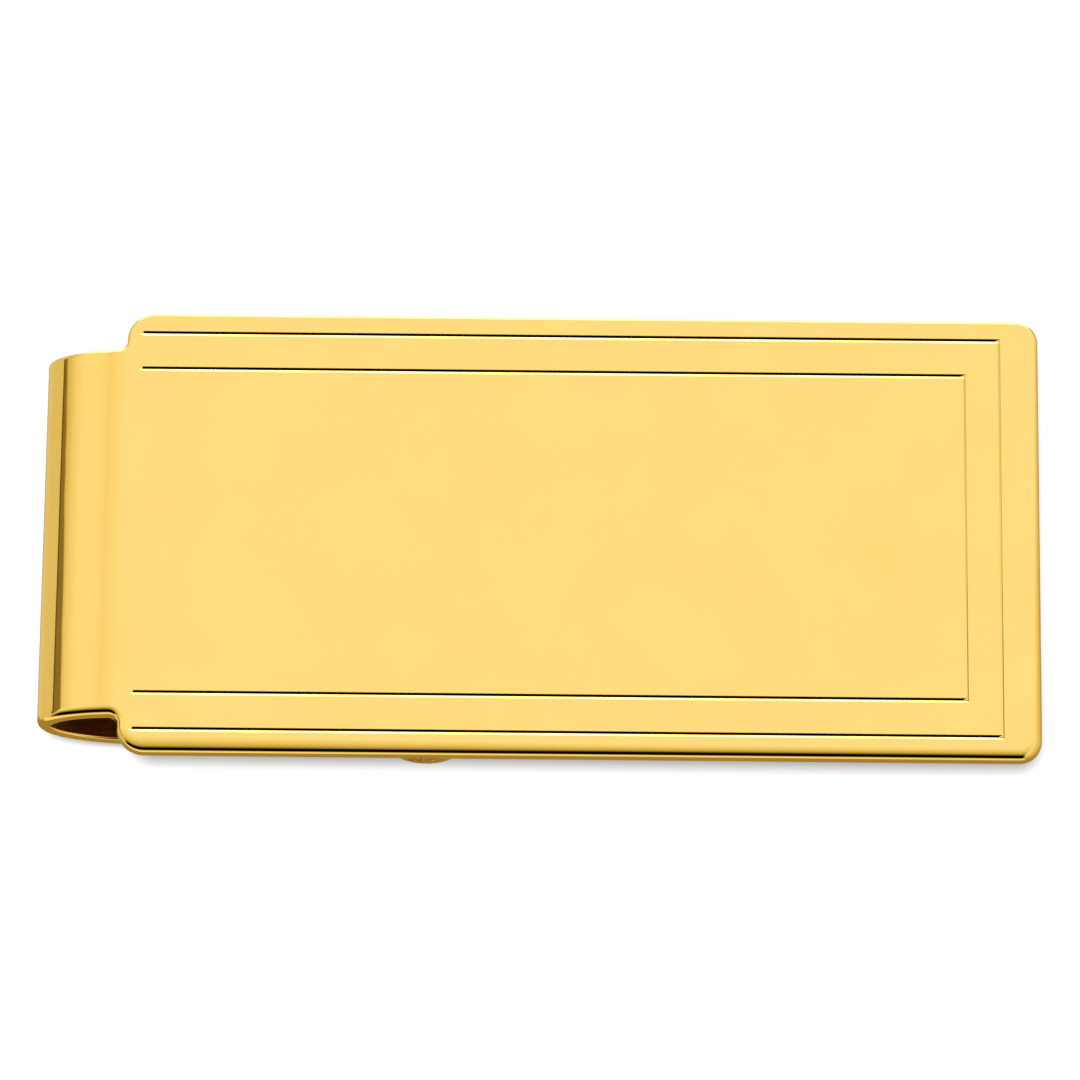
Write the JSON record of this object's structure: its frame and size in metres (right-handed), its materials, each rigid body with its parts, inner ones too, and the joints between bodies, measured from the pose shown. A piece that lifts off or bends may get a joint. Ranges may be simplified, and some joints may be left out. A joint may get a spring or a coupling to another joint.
{
  "type": "money clip",
  "caption": "Folded sheet-metal money clip with a wide flat front plate, a plain engraved line border, and a sprung lever hinged on the strap behind it.",
  "frame": {"origin": "under the middle of the clip, level with the lowest point of the hinge barrel", "axes": "+X from the fold to the free end of the plate, +Y across the clip, +Z out of the polished front face"},
  "size_m": [0.053, 0.025, 0.0076],
  "materials": {
    "gold_plate": "mirror polished yellow gold plating",
    "pin_gold": "hammered and brushed yellow gold plating",
    "spring_steel": "fine brushed spring steel"
  },
  "bodies": {
    "clip": {"clip_body": "gold_plate", "hinge_pin": "pin_gold", "leaf_spring": "spring_steel", "spring_rivets": "pin_gold"},
    "lever_arm": {"lever": "gold_plate"}
  },
  "joints": [
    {"name": "lever_hinge", "type": "hinge", "parent": "clip", "child": "lever_arm", "pos_m": [-0.006, 0, 0.0018], "axis": [0, 1, 0], "range_deg": [0, 90], "deforming": ["leaf_spring"]}
  ]
}
